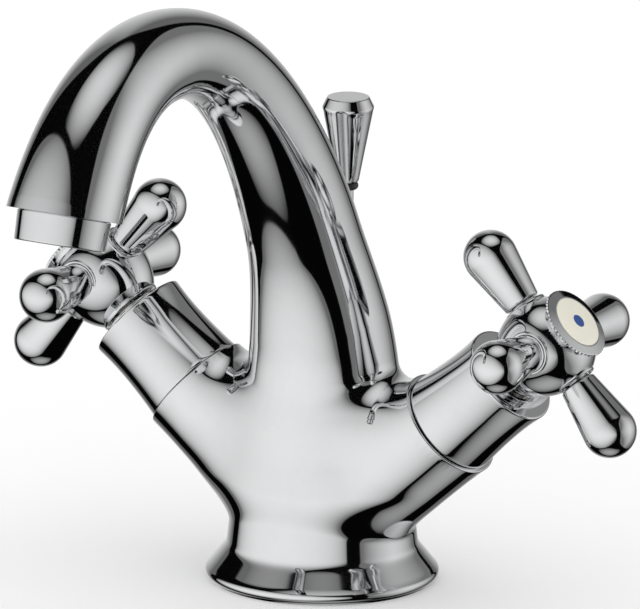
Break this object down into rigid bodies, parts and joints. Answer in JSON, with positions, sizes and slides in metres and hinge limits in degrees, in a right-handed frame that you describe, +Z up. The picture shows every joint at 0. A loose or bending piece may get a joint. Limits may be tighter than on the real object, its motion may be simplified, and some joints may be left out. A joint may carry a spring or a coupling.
{
  "type": "basin faucet",
  "caption": "Chrome basin mixer with a swan-neck spout, two angled arms with cross-head handles over ceramic valves, and a pop-up lift rod.",
  "frame": {"origin": "centre of the round recess at the underside of the base, on the deck", "axes": "+Z up from the deck; -Y towards the user, along the spout; +X to the user's right, along the cold arm"},
  "size_m": [0.1718, 0.1673, 0.1575],
  "materials": {
    "chrome": "polished",
    "black_rubber": "matt",
    "white_plastic": "matt",
    "steel_mesh": "satin",
    "steel": "satin",
    "brass": "machined",
    "valve_ceramic": "lapped ceramic",
    "index_ceramic": "glazed ceramic"
  },
  "bodies": {
    "body": {"body_casting": "chrome", "base_gasket": "black_rubber", "aerator_housing": "chrome", "aerator_insert": "white_plastic", "aerator_screen": "steel_mesh", "aerator_washer": "black_rubber", "lift_rod_guide": "white_plastic", "cold_shroud": "chrome", "cold_shroud_washer": "black_rubber", "cold_shroud_nut": "chrome", "cold_valve_body": "brass", "cold_valve_o_ring": "black_rubber", "cold_seat_seal": "black_rubber", "cold_fixed_disc": "valve_ceramic", "hot_shroud": "chrome", "hot_shroud_washer": "black_rubber", "hot_shroud_nut": "chrome", "hot_valve_body": "brass", "hot_valve_o_ring": "black_rubber", "hot_seat_seal": "black_rubber", "hot_fixed_disc": "valve_ceramic"},
    "cold_handle": {"cold_moving_disc": "valve_ceramic", "cold_spindle": "brass", "cold_spindle_o_ring": "black_rubber", "cold_spindle_clip": "steel", "cold_handle_hub": "chrome", "cold_handle_levers": "chrome", "cold_handle_screw": "steel", "cold_index_ring": "chrome", "cold_index_disc": "index_ceramic"},
    "hot_handle": {"hot_moving_disc": "valve_ceramic", "hot_spindle": "brass", "hot_spindle_o_ring": "black_rubber", "hot_spindle_clip": "steel", "hot_handle_hub": "chrome", "hot_handle_levers": "chrome", "hot_handle_screw": "steel", "hot_index_ring": "chrome", "hot_index_disc": "index_ceramic"},
    "lift_rod": {"lift_rod": "chrome", "lift_knob": "chrome", "lift_knob_ring": "black_rubber"}
  },
  "joints": [
    {"name": "cold_handle_turn", "type": "hinge", "parent": "body", "child": "cold_handle", "pos_m": [0.06274, 0, 0.06684], "axis": [0.7559, 0, 0.6547], "range_deg": [-90, 0]},
    {"name": "hot_handle_turn", "type": "hinge", "parent": "body", "child": "hot_handle", "pos_m": [-0.06274, 0, 0.06684], "axis": [-0.7559, 0, 0.6547], "range_deg": [0, 90]},
    {"name": "lift_rod_slide", "type": "slide", "parent": "body", "child": "lift_rod", "axis": [0, 0, 1], "range_m": [-0.011, 0.008]}
  ]
}
